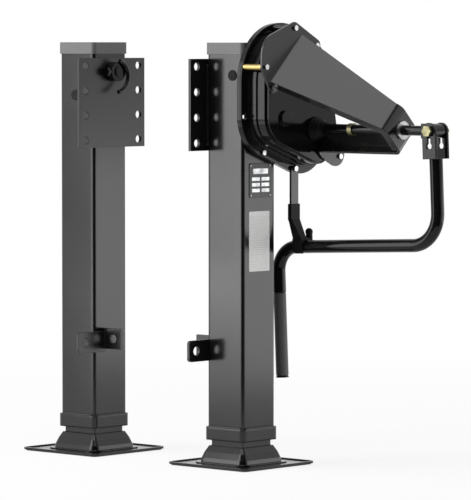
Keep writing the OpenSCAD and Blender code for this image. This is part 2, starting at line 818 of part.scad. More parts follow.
module shaft_stop_ring() {
    color("#c9a94a") shaft_stop_ring_shape();
}

module shaft_stop_ring_shape() {
    ring_x = 226;
    difference() {
        rod_x([shaft_y, shaft_z], shaft_d + 5, ring_x, ring_x + 12);
        rod_x([shaft_y, shaft_z], shaft_d, ring_x - 1, ring_x + 13);
    }
}

module clevis_bolt() {
    color("#c9a94a") clevis_bolt_shape();
}

module clevis_bolt_shape() {
    out = cheek_in + cheek_t + pass_gap;
    rod_y([pin_x, shaft_z], pin_d, shaft_y - out, shaft_y + out + 12);
    translate([pin_x, shaft_y - out, shaft_z]) rotate([90, 0, 0])
        cylinder(d = pin_d * 1.8 / cos(30), h = 8, $fn = 6);
    difference() {
        translate([pin_x, shaft_y + out + 10, shaft_z]) rotate([90, 0, 0])
            cylinder(d = pin_d * 1.8 / cos(30), h = 10, $fn = 6);
        rod_y([pin_x, shaft_z], pin_d, shaft_y, shaft_y + tube_w);
    }
}

module crank_clevis() {
    color("#222426") crank_clevis_shape();
}

module crank_clevis_shape() {
    at_pin() {
        for (y = [-cheek_in, cheek_in + cheek_t])
            translate([0, y, 0]) rotate([90, 0, 0]) linear_extrude(cheek_t) difference() {
                union() {
                    circle(cheek_r);
                    translate([-cheek_r, -cheek_drop]) square([2 * cheek_r, cheek_drop]);
                }
                circle(d = pin_d + 2 * run_gap);
                translate([0, -cheek_r - 14]) circle(7.5);
                translate([-4.5, -cheek_r - 14]) square([9, 20]);
            }
        translate([-crank_d / 2, -cheek_in, -cheek_drop]) cube([crank_d, 2 * cheek_in, 22]);
    }
}

// Centre line of the crank as a round bar: stem, bend, arm, bend and a short end for the grip
module crank_path(d) {
    translate([0, 0, -crank_drop + bend_1]) cylinder(d = d, h = crank_drop - bend_1 - cheek_drop);
    translate([-bend_1, 0, -crank_drop + bend_1]) rotate([-90, 0, 0]) rotate_extrude(angle = 90)
        translate([bend_1, 0]) circle(d = d);
    translate([-crank_throw + bend_2, 0, -crank_drop]) rotate([0, 90, 0])
        cylinder(d = d, h = crank_throw - bend_1 - bend_2);
    translate([-crank_throw + bend_2, 0, -crank_drop - bend_2]) rotate([90, 0, 0]) rotate([0, 0, 90])
        rotate_extrude(angle = 90) translate([bend_2, 0]) circle(d = d);
    translate([-crank_throw, 0, -grip_top]) cylinder(d = d, h = grip_top - crank_drop - bend_2);
}

module crank_tube() {
    color("#222426") crank_tube_shape();
}

module crank_tube_shape() {
    at_pin() {
        difference() {
            crank_path(crank_d);
            crank_path(core_d);
        }
        translate([-crank_throw, 0, -grip_top - grip_l - 2 * pass_gap])
            cylinder(d = core_d, h = grip_l + 2 * pass_gap + grip_top - crank_drop - bend_2);
    }
}

module crank_grip() {
    color("#141414") crank_grip_shape();
}

module crank_grip_shape() {
    bore = core_d / 2 + run_gap;
    at_pin() translate([-crank_throw, 0, -grip_top - grip_l - pass_gap]) rotate_extrude()
        polygon([[bore, 0], [grip_d / 2 - 2, 0], [grip_d / 2, 2], [grip_d / 2, grip_l - 2],
            [grip_d / 2 - 2, grip_l], [bore, grip_l]]);
}

module grip_stop() {
    color("#d5d8da") grip_stop_shape();
}

module grip_stop_shape() {
    at_pin() translate([-crank_throw, 0, -grip_top - grip_l - 2 * pass_gap - 3]) cylinder(d = crank_d, h = 3);
}

// Crank holder: a steel strap on the gearbox flange and a moulded rubber clip that hangs from it

strap_x = flange_x + flange_t;
strap_bottom = 545;
clip_at = 387;

module holder_strap() {
    color("#9a9fa3") holder_strap_shape();
}

module strap_outline() {
    belt([[strap_yz[0], strap_bottom + strap_w / 2, strap_w / 2], [strap_yz[0], strap_yz[1] - 6, strap_w / 2]]);
}

module holder_strap_shape() {
    difference() {
        along_x(strap_x, strap_x + strap_t) strap_outline();
        rod_x(strap_yz, screw_d, strap_x - 1, strap_x + strap_t + 1);
    }
}

module crank_clip() {
    color("#141414") crank_clip_shape();
}

module crank_clip_shape() {
    wall = 5;
    skin = 2.5;
    sleeve_h = 36;
    jaw_l = 24;
    finger_h = 38;
    ring_d = crank_d + 2 * pass_gap;
    sleeve_y = strap_yz[0] - strap_w / 2 - skin;
    sleeve_w = strap_w + 2 * skin;
    lap = 0.7;
    difference() {
        union() {
            translate([strap_x - skin, sleeve_y, strap_bottom - wall])
                cube([strap_t + 2 * skin, sleeve_w, sleeve_h]);
            hull() {
                translate([strap_x - skin + lap, sleeve_y + lap, strap_bottom - wall + lap])
                    cube([strap_t + 2 * skin - 2 * lap, sleeve_w - 2 * lap, 4]);
                at_pin() translate([-clip_at - jaw_l / 2 + lap, -ring_d / 2 - wall + lap, -crank_drop + 15])
                    cube([jaw_l - 2 * lap, ring_d / 2 + wall - 2 * lap, 4]);
            }
            at_pin() translate([-clip_at, 0, -crank_drop]) {
                translate([-jaw_l / 2, 0, 0]) rotate([0, 90, 0]) cylinder(d = ring_d + 2 * wall, h = jaw_l);
                translate([-jaw_l / 2 - lap, -ring_d / 2 - wall - lap, -12]) cube([jaw_l + 2 * lap, wall + 4, 30]);
                translate([2, ring_d / 2 + wall, -6]) cylinder(d = 15, h = finger_h);
                translate([2, ring_d / 2 + wall, finger_h - 6]) sphere(d = 17);
            }
        }
        along_x(strap_x, strap_x + strap_t) strap_outline();
        at_pin() translate([-clip_at, 0, -crank_drop]) {
            translate([-jaw_l, 0, 0]) rotate([0, 90, 0]) cylinder(d = ring_d, h = 2 * jaw_l);
            translate([-jaw_l, -ring_d / 2 + 2, -30]) cube([2 * jaw_l, ring_d - 4, 30]);
        }
    }
}

// Follower coupling, in the drive leg's frame: sleeve, cross bolt and hook at the inboard end

sleeve_x = -half - plate_t - 2 - pass_gap;
sleeve_l = 18;
sleeve_d = 44;

module stub_shaft() {
    difference() {
        rod_x([0, cross_z], cross_d, sleeve_x - sleeve_l - 3, half);
        rod_y([sleeve_x - sleeve_l / 2, cross_z], 10, -tube_w, tube_w);
    }
}

module coupling_sleeve() {
    difference() {
        rod_x([0, cross_z], sleeve_d, sleeve_x - sleeve_l, sleeve_x);
        rod_x([0, cross_z], cross_d, sleeve_x - sleeve_l - 1, sleeve_x + 1);
        rod_y([sleeve_x - sleeve_l / 2, cross_z], 10, -tube_w, tube_w);
    }
}

module cross_bolt() {
    xz = [sleeve_x - sleeve_l / 2, cross_z];
    rod_y(xz, 10, -sleeve_d / 2 - 6, sleeve_d / 2 + 16);
    for (y = [-sleeve_d / 2, sleeve_d / 2 + 10])
        translate([xz[0], y, xz[1]]) rotate([90, 0, 0]) difference() {
            cylinder(d = 17 / cos(30), h = 10, $fn = 6);
            if (y > 0) translate([0, 0, -1]) cylinder(d = 10, h = 12);
        }
}

module coupling_hook() {
    hook_d = 9;
    hook_r = 36;
    translate([sleeve_x - sleeve_l - hook_d / 2, -10, cross_z - 10]) rotate([90, 0, 90]) rotate([0, 0, -83])
        rotate_extrude(angle = 158) translate([hook_r, 0]) circle(d = hook_d);
}

// Nodes

module drive_outer_tube() { color("#55585a") outer_tube(drive_plug); }
module drive_top_cap() { color("#9b9d9f") notched_cap(); }
module drive_mount_plate() { color("#55585a") mount_plate(); }
module drive_collar() { color("#55585a") collar(); }
module drive_brace_lug() { color("#55585a") brace_lug(); }
module drive_bearing_plate() { color("#9a9fa3") bearing_plate(); }
module drive_thrust_bearing() { color("#9a9fa3") thrust_bearing(); }
module drive_shaft_bushes() { color("#c9a94a") shaft_bushes(); }
module drive_tube_plug() { color("#141414") tube_plug(drive_plug); }
module drive_inner_tube() { color("#55585a") inner_tube(); }
module drive_spindle_nut() { color("#c9a94a") spindle_nut(); }
module drive_spindle() { color("#9a9fa3") spindle(); }
module drive_bevel_gear() { color("#9a9fa3") bevel_gear(); }
module drive_bevel_pinion() { color("#9a9fa3") bevel_pinion(); }
module drive_foot_plate() { color("#222426") foot_plate(); }
module drive_foot_dome() { color("#222426") foot_dome(); }
module drive_foot_pin() { color("#9a9fa3") foot_pin(); }
module follower_outer_tube() { color("#55585a") on_follower() outer_tube(follower_plug); }
module follower_top_cap() { color("#9b9d9f") on_follower() top_cap(); }
module follower_mount_plate() { color("#55585a") on_follower() mount_plate(); }
module follower_collar() { color("#55585a") on_follower() collar(); }
module follower_brace_lug() { color("#55585a") on_follower() brace_lug(); }
module follower_bearing_plate() { color("#9a9fa3") on_follower() bearing_plate(); }
module follower_thrust_bearing() { color("#9a9fa3") on_follower() thrust_bearing(); }
module follower_shaft_bushes() { color("#c9a94a") on_follower() shaft_bushes(); }
module follower_tube_plug() { color("#141414") on_follower() tube_plug(follower_plug); }
module follower_inner_tube() { color("#55585a") on_follower() inner_tube(); }
module follower_spindle_nut() { color("#c9a94a") on_follower() spindle_nut(); }
module follower_spindle() { color("#9a9fa3") on_follower() spindle(); }
module follower_bevel_gear() { color("#9a9fa3") on_follower() bevel_gear(); }
module follower_bevel_pinion() { color("#9a9fa3") on_follower() bevel_pinion(); }
module follower_foot_plate() { color("#222426") on_follower() foot_plate(); }
module follower_foot_dome() { color("#222426") on_follower() foot_dome(); }
module follower_foot_pin() { color("#9a9fa3") on_follower() foot_pin(); }
module follower_stub_shaft() { color("#9a9fa3") on_follower() stub_shaft(); }
module follower_coupling_sleeve() { color("#222426") on_follower() coupling_sleeve(); }
module follower_cross_bolt() { color("#222426") on_follower() cross_bolt(); }
module follower_coupling_hook() { color("#222426") on_follower() coupling_hook(); }

drive_outer_tube();
drive_top_cap();
drive_mount_plate();
drive_collar();
drive_brace_lug();
drive_bearing_plate();
drive_thrust_bearing();
drive_shaft_bushes();
drive_tube_plug();
drive_inner_tube();
drive_spindle_nut();
drive_spindle();
drive_bevel_gear();
drive_bevel_pinion();
drive_foot_plate();
drive_foot_dome();
drive_foot_pin();
follower_outer_tube();
follower_top_cap();
follower_mount_plate();
follower_collar();
follower_brace_lug();
follower_bearing_plate();
follower_thrust_bearing();
follower_shaft_bushes();
follower_tube_plug();
follower_inner_tube();
follower_spindle_nut();
follower_spindle();
follower_bevel_gear();
follower_bevel_pinion();
follower_foot_plate();
follower_foot_dome();
follower_foot_pin();
follower_stub_shaft();
follower_coupling_sleeve();
follower_cross_bolt();
follower_coupling_hook();
gearbox_pan();
gearbox_cover();
gearbox_screws();
spacer_sleeves();
intermediate_pin();
intermediate_gears();
output_gear();
input_pinion();
drive_output_shaft();
shaft_bracket();
end_bush();
shaft_boot();
crank_shaft();
shaft_stop_ring();
clevis_bolt();
crank_clevis();
crank_tube();
crank_grip();
grip_stop();
holder_strap();
crank_clip();
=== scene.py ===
"""Looks of a semi trailer landing gear: two screw jack legs, a gearbox and a fold-away crank."""

import math

import bmesh
import bpy
from mathutils import Matrix, Vector


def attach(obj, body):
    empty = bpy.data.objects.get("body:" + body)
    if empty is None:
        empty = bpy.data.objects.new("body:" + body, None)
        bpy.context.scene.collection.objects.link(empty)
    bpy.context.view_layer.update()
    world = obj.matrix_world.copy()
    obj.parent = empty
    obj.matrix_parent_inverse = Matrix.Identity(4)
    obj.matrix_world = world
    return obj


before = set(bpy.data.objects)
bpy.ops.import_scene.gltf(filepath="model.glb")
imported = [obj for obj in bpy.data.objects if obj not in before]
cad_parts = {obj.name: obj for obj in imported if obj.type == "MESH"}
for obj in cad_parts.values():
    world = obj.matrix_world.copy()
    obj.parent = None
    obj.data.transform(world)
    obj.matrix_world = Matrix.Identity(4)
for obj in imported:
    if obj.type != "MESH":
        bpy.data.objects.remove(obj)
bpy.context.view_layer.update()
scene = bpy.context.scene

# Camera of the photograph, in degrees, metres and millimetres of lens
CAMERA_AZIMUTH = 42.17
CAMERA_ELEVATION = 3.18
CAMERA_DISTANCE = 8.66652
CAMERA_LENS = 282.95
SENSOR_WIDTH = 36
CLIP_END = 200
AIM_SIDE = -0.01254
AIM_HEIGHT = 0.47479

# Places on the legs, in metres
TUBE_HALF = 0.053
FOLLOWER_X = -0.454
PLATE_LOW = 0.694
PLATE_HIGH = 0.896
COLLAR_TOP = 0.085

# Name plate and sticker on the drive leg's outer face: low and high corners in Y and Z
NAME_PLATE = ((-0.033, 0.592), (0.040, 0.668))
STICKER = ((-0.033, 0.430), (0.034, 0.562))

# The name plate's sheet, its pale band, its two columns of empty fields and its rivets
PLATE_SHEET = 0.0012
PLATE_CORNER = 0.004
FIELD_X = TUBE_HALF + 0.0011
FIELD_SHEET = 0.0004
BAND_INSET = 0.012
BAND_HEIGHT = 0.012
BAND_CORNER = 0.002
FIELD_ROWS = 3
FIELD_TOP = 0.031
FIELD_PITCH = 0.0125
FIELD_HEIGHT = 0.008
FIELD_INSET = 0.008
FIELD_HALF_GAP = 0.003
FIELD_CORNER = 0.001
RIVET_INSET = 0.005
RIVET_RADIUS = 0.0025
RIVET_FLATNESS = 0.5

# The sticker's paper and its rows of print
STICKER_SHEET = 0.0003
STICKER_CORNER = 0.003
PRINT_PITCH = 0.0052
PRINT_MARGIN = 0.012
PRINT_FADE = 0.004
PRINT_STRENGTH = 0.25
PRINT_GREY = (0.2, 0.2, 0.2, 1)

# Weld beads
PLATE_BEAD = 0.0042
COLLAR_BEAD = 0.0028
BEAD_LIFT = 0.001
COLLAR_BEAD_LIFT = 0.0005
PLATE_BEAD_END = 0.012
COLLAR_BEAD_END = 0.006

# The sleeves past this place in Y are painted over
SLEEVE_PAINT_Y = -0.03
PAINT_FADE = 0.002

# Studio: floor, dark screens and the point that the lamps look at, in metres and degrees
FLOOR_RADIUS = 60.0
FLOOR_DROP = 0.0005
GLOW_NEAR = 0.8
GLOW_FAR = 3.0
GLOW_LEAST = 0.85
SOFT_LIGHT = 0.3
SCREEN_RADIUS = 1.3
SCREEN_HEIGHT = 1.5
SCREEN_SPAN = 112
CEILING_RADIUS = 3.6
CEILING_HEIGHT = 5.0
LAMP_AIM_X = -0.2
LAMP_AIM_HEIGHT = 0.5


def place_camera():
    """Stands the camera where the photograph was taken from."""
    azimuth = math.radians(CAMERA_AZIMUTH)
    elevation = math.radians(CAMERA_ELEVATION)
    right = Vector((math.cos(azimuth), math.sin(azimuth), 0))
    aim = right * AIM_SIDE + Vector((0, 0, AIM_HEIGHT))
    back = Vector((
        math.sin(azimuth) * math.cos(elevation),
        -math.cos(azimuth) * math.cos(elevation),
        math.sin(elevation),
    ))
    lens = bpy.data.cameras.new("photo_camera")
    lens.lens = CAMERA_LENS
    lens.sensor_width = SENSOR_WIDTH
    lens.clip_end = CLIP_END
    camera = bpy.data.objects.new("photo_camera", lens)
    camera.location = aim + back * CAMERA_DISTANCE
    camera.rotation_euler = back.to_track_quat("Z", "Y").to_euler()
    scene.collection.objects.link(camera)
    scene.camera = camera


# Node helpers


def add_node(tree, kind, **settings):
    """A node of that kind with its settings and, under inputs, its socket values."""
    node = tree.nodes.new(kind)
    values = settings.pop("inputs", {})
    for name, value in settings.items():
        setattr(node, name, value)
    for name, value in values.items():
        node.inputs[name].default_value = value
    return node


def start_group(name, inputs, outputs):
    """An empty shader group with its sockets; gives the tree, its input node and its output node."""
    tree = bpy.data.node_groups.new(name, "ShaderNodeTree")
    for label, kind, value in inputs:
        socket = tree.interface.new_socket(label, in_out="INPUT", socket_type=kind)
        socket.default_value = value
    for label, kind in outputs:
        tree.interface.new_socket(label, in_out="OUTPUT", socket_type=kind)
    return tree, tree.nodes.new("NodeGroupInput"), tree.nodes.new("NodeGroupOutput")


def noise(tree, place, scale, detail, roughness):
    """A noise texture on the given coordinates."""
    node = add_node(
        tree, "ShaderNodeTexNoise", inputs={"Scale": scale, "Detail": detail, "Roughness": roughness}
    )
    tree.links.new(place, node.inputs["Vector"])
    return node.outputs["Fac"]


def remap(tree, value, low, high, out_low, out_high):
    """The value moved from one span to another, clamped."""
    node = add_node(tree, "ShaderNodeMapRange", inputs={"From Min": low, "From Max": high})
    for socket, level in (("To Min", out_low), ("To Max", out_high)):
        if isinstance(level, bpy.types.NodeSocket):
            tree.links.new(level, node.inputs[socket])
        else:
            node.inputs[socket].default_value = level
    tree.links.new(value, node.inputs["Value"])
    return node.outputs["Result"]


def maths(tree, operation, first, second):
    """One arithmetic node; either side is a socket or a number."""
    node = add_node(tree, "ShaderNodeMath", operation=operation)
    for index, side in enumerate((first, second)):
        if isinstance(side, bpy.types.NodeSocket):
            tree.links.new(side, node.inputs[index])
        else:
            node.inputs[index].default_value = side
    return node.outputs["Value"]


def blend_colour(tree, factor, first, second, mode="MIX"):
    """Two colours mixed by a factor; each is a socket or a value."""
    node = add_node(tree, "ShaderNodeMix", data_type="RGBA", blend_type=mode)
    for socket, side in ((node.inputs[0], factor), (node.inputs[6], first), (node.inputs[7], second)):
        if isinstance(side, bpy.types.NodeSocket):
            tree.links.new(side, socket)
        else:
            socket.default_value = side
    return node.outputs[2]


def object_place(tree):
    """Object coordinates."""
    return tree.nodes.new("ShaderNodeTexCoord").outputs["Object"]


# Shared effects


def make_paint_film():
    """Sprayed paint: cloudy tone, dark flecks and orange peel."""
    tree, given, made = start_group(
        "paint_film",
        [
            ("Colour", "NodeSocketColor", (0.1, 0.1, 0.1, 1)),
            ("Tone", "NodeSocketFloat", 0.12),
            ("Gloss low", "NodeSocketFloat", 0.25),
            ("Gloss high", "NodeSocketFloat", 0.4),
            ("Peel scale", "NodeSocketFloat", 420.0),
        ],
        [
            ("Colour", "NodeSocketColor"),
            ("Roughness", "NodeSocketFloat"),
            ("Height", "NodeSocketFloat"),
        ],
    )
    place = object_place(tree)
    cloud = noise(tree, place, scale=7.0, detail=5.0, roughness=0.55)
    speck = noise(tree, place, scale=160.0, detail=4.0, roughness=0.65)
    low = maths(tree, "SUBTRACT", 1.0, given.outputs["Tone"])
    high = maths(tree, "ADD", 1.0, given.outputs["Tone"])
    tone = remap(tree, cloud, 0.3, 0.7, low, high)
    fleck = remap(tree, speck, 0.62, 0.78, 1.0, 0.8)
    shade = maths(tree, "MULTIPLY", tone, fleck)
    grey = add_node(tree, "ShaderNodeCombineColor")
    for channel in range(3):
        tree.links.new(shade, grey.inputs[channel])
    colour = blend_colour(tree, 1.0, given.outputs["Colour"], grey.outputs["Color"], "MULTIPLY")
    rough = remap(tree, cloud, 0.3, 0.7, given.outputs["Gloss low"], given.outputs["Gloss high"])
    peel = add_node(tree, "ShaderNodeTexNoise", inputs={"Detail": 2.0})
    tree.links.new(place, peel.inputs["Vector"])
    tree.links.new(given.outputs["Peel scale"], peel.inputs["Scale"])
    tree.links.new(colour, made.inputs["Colour"])
    tree.links.new(rough, made.inputs["Roughness"])
    tree.links.new(peel.outputs["Fac"], made.inputs["Height"])
    return tree


def make_worn_edge():
    """Softly broken edges: a rounded normal and a patchy mask of rubbed paint."""
    tree, given, made = start_group(
        "worn_edge",
        [("Radius", "NodeSocketFloat", 0.0015), ("Wear", "NodeSocketFloat", 0.3)],
        [("Normal", "NodeSocketVector"), ("Mask", "NodeSocketFloat")],
    )
    bevel = add_node(tree, "ShaderNodeBevel", samples=6)
    tree.links.new(given.outputs["Radius"], bevel.inputs["Radius"])
    face = tree.nodes.new("ShaderNodeNewGeometry")
    facing = add_node(tree, "ShaderNodeVectorMath", operation="DOT_PRODUCT")
    tree.links.new(bevel.outputs["Normal"], facing.inputs[0])
    tree.links.new(face.outputs["Normal"], facing.inputs[1])
    edge = remap(tree, facing.outputs["Value"], 0.995, 0.86, 0.0, 1.0)
    grain = noise(tree, object_place(tree), scale=70.0, detail=6.0, roughness=0.7)
    patch = remap(tree, grain, 0.5, 0.68, 0.0, 1.0)
    rubbed = maths(tree, "MULTIPLY", edge, patch)
    mask = maths(tree, "MULTIPLY", rubbed, given.outputs["Wear"])
    tree.links.new(bevel.outputs["Normal"], made.inputs["Normal"])
    tree.links.new(mask, made.inputs["Mask"])
    return tree


def make_settled_dust():
    """A thin film of dust on faces that look up."""
    tree, given, made = start_group(
        "settled_dust",
        [
            ("Colour", "NodeSocketColor", (0.1, 0.1, 0.1, 1)),
            ("Dust", "NodeSocketColor", (0.4, 0.39, 0.37, 1)),
            ("Amount", "NodeSocketFloat", 0.15),
        ],
        [("Colour", "NodeSocketColor"), ("Mask", "NodeSocketFloat")],
    )
    face = tree.nodes.new("ShaderNodeNewGeometry")
    split = tree.nodes.new("ShaderNodeSeparateXYZ")
    tree.links.new(face.outputs["Normal"], split.inputs["Vector"])
    upward = remap(tree, split.outputs["Z"], 0.3, 0.95, 0.0, 1.0)
    grain = noise(tree, object_place(tree), scale=34.0, detail=6.0, roughness=0.65)
    patch = remap(tree, grain, 0.35, 0.7, 0.35, 1.0)
    film = maths(tree, "MULTIPLY", upward, patch)
    mask = maths(tree, "MULTIPLY", film, given.outputs["Amount"])
    colour = blend_colour(tree, mask, given.outputs["Colour"], given.outputs["Dust"])
    tree.links.new(colour, made.inputs["Colour"])
    tree.links.new(mask, made.inputs["Mask"])
    return tree


def make_turned_metal():
    """Machined or plated metal: fine streaks, dull patches and a tint that drifts."""
    tree, given, made = start_group(
        "turned_metal",
        [
            ("Colour", "NodeSocketColor", (0.6, 0.6, 0.6, 1)),
            ("Tarnish", "NodeSocketColor", (0.3, 0.28, 0.25, 1)),
            ("Streak scale", "NodeSocketFloat", 900.0),
            ("Dullness", "NodeSocketFloat", 0.3),
        ],
        [
            ("Colour", "NodeSocketColor"),
            ("Roughness", "NodeSocketFloat"),
            ("Height", "NodeSocketFloat"),
        ],
    )
    place = object_place(tree)
    stretch = add_node(tree, "ShaderNodeMapping", inputs={"Scale": (0.06, 1.0, 1.0)})
    tree.links.new(place, stretch.inputs["Vector"])
    streak = add_node(tree, "ShaderNodeTexNoise", inputs={"Detail": 3.0})
    tree.links.new(stretch.outputs["Vector"], streak.inputs["Vector"])
    tree.links.new(given.outputs["Streak scale"], streak.inputs["Scale"])
    grain = noise(tree, place, scale=55.0, detail=5.0, roughness=0.6)
    patch = remap(tree, grain, 0.42, 0.72, 0.0, 0.7)
    colour = blend_colour(tree, patch, given.outputs["Colour"], given.outputs["Tarnish"])
    dull = maths(tree, "ADD", given.outputs["Dullness"], 0.2)
    rough = remap(tree, patch, 0.0, 0.7, given.outputs["Dullness"], dull)
    tree.links.new(colour, made.inputs["Colour"])
    tree.links.new(rough, made.inputs["Roughness"])
    tree.links.new(streak.outputs["Fac"], made.inputs["Height"])
    return tree


paint_film = make_paint_film()
worn_edge = make_worn_edge()
settled_dust = make_settled_dust()
turned_metal = make_turned_metal()


# Finishes


def blank_material(name):
    """A material with an empty Principled shader; gives the material, its tree and the shader."""
    material = bpy.data.materials.new(name)
    material.use_nodes = True
    tree = material.node_tree
    return material, tree, tree.nodes["Principled BSDF"]


def place_group(tree, group, **values):
    """One use of a shared effect with its own values; spaces in socket names are underscores here."""
    node = tree.nodes.new("ShaderNodeGroup")
    node.node_tree = group
    for name, value in values.items():
        node.inputs[name.replace("_", " ")].default_value = value
    return node


def add_bump(tree, shader, height, normal, strength, distance):
    """Bump from a height over a rounded normal, into the shader."""
    bump = add_node(tree, "ShaderNodeBump", inputs={"Strength": strength, "Distance": distance})
    tree.links.new(height, bump.inputs["Height"])
    tree.links.new(normal, bump.inputs["Normal"])
    tree.links.new(bump.outputs["Normal"], shader.inputs["Normal"])


def painted(name, colour, gloss, rubbed, wear, dust, peel=0.08, radius=0.0018, specular=0.5):
    """Sprayed steel in one colour, rubbed paler along its edges."""
    material, tree, shader = blank_material(name)
    film = place_group(tree, paint_film, Colour=colour, Tone=0.05, Gloss_low=gloss[0], Gloss_high=gloss[1])
    edge = place_group(tree, worn_edge, Radius=radius, Wear=wear)
    settled = place_group(tree, settled_dust, Amount=dust)
    tree.links.new(film.outputs["Colour"], settled.inputs["Colour"])
    top = blend_colour(tree, edge.outputs["Mask"], settled.outputs["Colour"], rubbed)
    tree.links.new(top, shader.inputs["Base Color"])
    tree.links.new(film.outputs["Roughness"], shader.inputs["Roughness"])
    add_bump(tree, shader, film.outputs["Height"], edge.outputs["Normal"], peel, 0.0004)
    shader.inputs["Specular IOR Level"].default_value = specular
    return material


def plated(name, colour, tarnish, dullness, streak=900.0):
    """Bare or plated metal."""
    material, tree, shader = blank_material(name)
    metal = place_group(
        tree, turned_metal, Colour=colour, Tarnish=tarnish, Streak_scale=streak, Dullness=dullness
    )
    edge = place_group(tree, worn_edge, Radius=0.0008, Wear=0.4)
    top = blend_colour(tree, edge.outputs["Mask"], metal.outputs["Colour"], (0.85, 0.85, 0.83, 1))
    tree.links.new(top, shader.inputs["Base Color"])
    tree.links.new(metal.outputs["Roughness"], shader.inputs["Roughness"])
    add_bump(tree, shader, metal.outputs["Height"], edge.outputs["Normal"], 0.15, 0.0002)
    shader.inputs["Metallic"].default_value = 1.0
    return material


def moulded(name, colour, pale, gloss, grain, depth, specular):
    """Rubber or plastic with a moulded grain and paler scuffed edges."""
    material, tree, shader = blank_material(name)
    film = place_group(
        tree, paint_film, Colour=colour, Tone=0.2, Gloss_low=gloss[0], Gloss_high=gloss[1], Peel_scale=grain
    )
    edge = place_group(tree, worn_edge, Radius=0.0012, Wear=0.5)
    top = blend_colour(tree, edge.outputs["Mask"], film.outputs["Colour"], pale)
    tree.links.new(top, shader.inputs["Base Color"])
    tree.links.new(film.outputs["Roughness"], shader.inputs["Roughness"])
    add_bump(tree, shader, film.outputs["Height"], edge.outputs["Normal"], depth, 0.0005)
    shader.inputs["Specular IOR Level"].default_value = specular
    return material


SATIN = (0.006, 0.006, 0.0063, 1)
BLACK = (0.005, 0.005, 0.0053, 1)
PALE = (0.11, 0.11, 0.108, 1)
RUBBED = (0.04, 0.04, 0.04, 1)
leg_paint = painted("leg_paint", SATIN, (0.27, 0.33), RUBBED, wear=0.4, dust=0.03)
tube_paint = painted("tube_paint", SATIN, (0.15, 0.19), RUBBED, wear=0.0, dust=0.02, radius=0.006)
case_paint = painted("case_paint", BLACK, (0.08, 0.12), RUBBED, wear=0.4, dust=0.02, specular=0.22)
foot_paint = painted("foot_paint", BLACK, (0.14, 0.2), RUBBED, wear=0.5, dust=0.0, specular=0.42)
bracket_paint = painted(
    "bracket_paint", SATIN, (0.15, 0.2), (0.06, 0.06, 0.06, 1), wear=0.4, dust=0.02, specular=0.56
)
cap_paint = painted("cap_paint", PALE, (0.4, 0.5), (0.2, 0.2, 0.2, 1), wear=0.4, dust=0.08)
oiled_steel = plated("oiled_steel", (0.42, 0.42, 0.42, 1), (0.2, 0.18, 0.16, 1), 0.28)
turned_bronze = plated("turned_bronze", (0.5, 0.34, 0.14, 1), (0.24, 0.15, 0.07, 1), 0.3)
bright_zinc = plated("bright_zinc", (0.78, 0.79, 0.8, 1), (0.5, 0.5, 0.5, 1), 0.22)
dull_zinc = plated("dull_zinc", (0.46, 0.46, 0.46, 1), (0.3, 0.3, 0.29, 1), 0.42)
yellow_zinc = plated("yellow_zinc", (0.55, 0.42, 0.15, 1), (0.4, 0.28, 0.14, 1), 0.26)
olive_zinc = plated("olive_zinc", (0.32, 0.3, 0.17, 1), (0.22, 0.2, 0.12, 1), 0.34)
soft_rubber = moulded(
    "soft_rubber", (0.006, 0.006, 0.006, 1), (0.04, 0.04, 0.04, 1), (0.5, 0.66),
    grain=700.0, depth=0.3, specular=0.2,
)
grip_plastic = moulded(
    "grip_plastic", (0.09, 0.09, 0.092, 1), (0.15, 0.15, 0.15, 1), (0.5, 0.6),
    grain=1100.0, depth=0.5, specular=0.5,
)


def paint_over(material, from_y, paint):
    """Paints over a metal finish from a place in Y on."""
    tree = material.node_tree
    shader = tree.nodes["Principled BSDF"]
    split = tree.nodes.new("ShaderNodeSeparateXYZ")
    tree.links.new(object_place(tree), split.inputs["Vector"])
    covered = remap(tree, split.outputs["Y"], from_y - PAINT_FADE, from_y + PAINT_FADE, 0.0, 1.0)
    bare = shader.inputs["Base Color"].links[0].from_socket
    tree.links.new(blend_colour(tree, covered, bare, paint), shader.inputs["Base Color"])
    tree.links.new(maths(tree, "SUBTRACT", 1.0, covered), shader.inputs["Metallic"])


# Of the three sleeves only the near one is left yellow
paint_over(yellow_zinc, SLEEVE_PAINT_Y, BLACK)

LEG_NODES = {
    leg_paint: ("mount_plate", "brace_lug"),
    tube_paint: ("outer_tube", "collar", "inner_tube"),
    foot_paint: ("foot_plate", "foot_dome"),
    cap_paint: ("top_cap",),
    oiled_steel: ("bearing_plate", "thrust_bearing", "spindle", "bevel_gear", "bevel_pinion", "foot_pin"),
    turned_bronze: ("shaft_bushes", "spindle_nut"),
    soft_rubber: ("tube_plug",),
}
OTHER_NODES = {
    oiled_steel: (
        "intermediate_pin", "intermediate_gears", "output_gear", "input_pinion", "drive_output_shaft",
    ),
    case_paint: (
        "follower_stub_shaft", "follower_coupling_sleeve", "follower_cross_bolt", "follower_coupling_hook",
        "gearbox_pan", "gearbox_cover", "crank_shaft", "crank_clevis", "crank_tube", "grip_stop",
    ),
    bracket_paint: ("shaft_bracket", "holder_strap"),
    bright_zinc: ("gearbox_screws",),
    dull_zinc: ("end_bush",),
    yellow_zinc: ("spacer_sleeves",),
    olive_zinc: ("shaft_stop_ring", "clevis_bolt"),
    soft_rubber: ("shaft_boot", "crank_clip"),
    grip_plastic: ("crank_grip",),
}


def finish_node(name, material):
    """Gives a CAD node its finish."""
    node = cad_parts[name]
    node.data.materials.clear()
    node.data.materials.append(material)


for finish, shapes in LEG_NODES.items():
    for shape in shapes:
        finish_node("drive_" + shape, finish)
        finish_node("follower_" + shape, finish)
for finish, names in OTHER_NODES.items():
    for name in names:
        finish_node(name, finish)


# Pieces that only the looks need


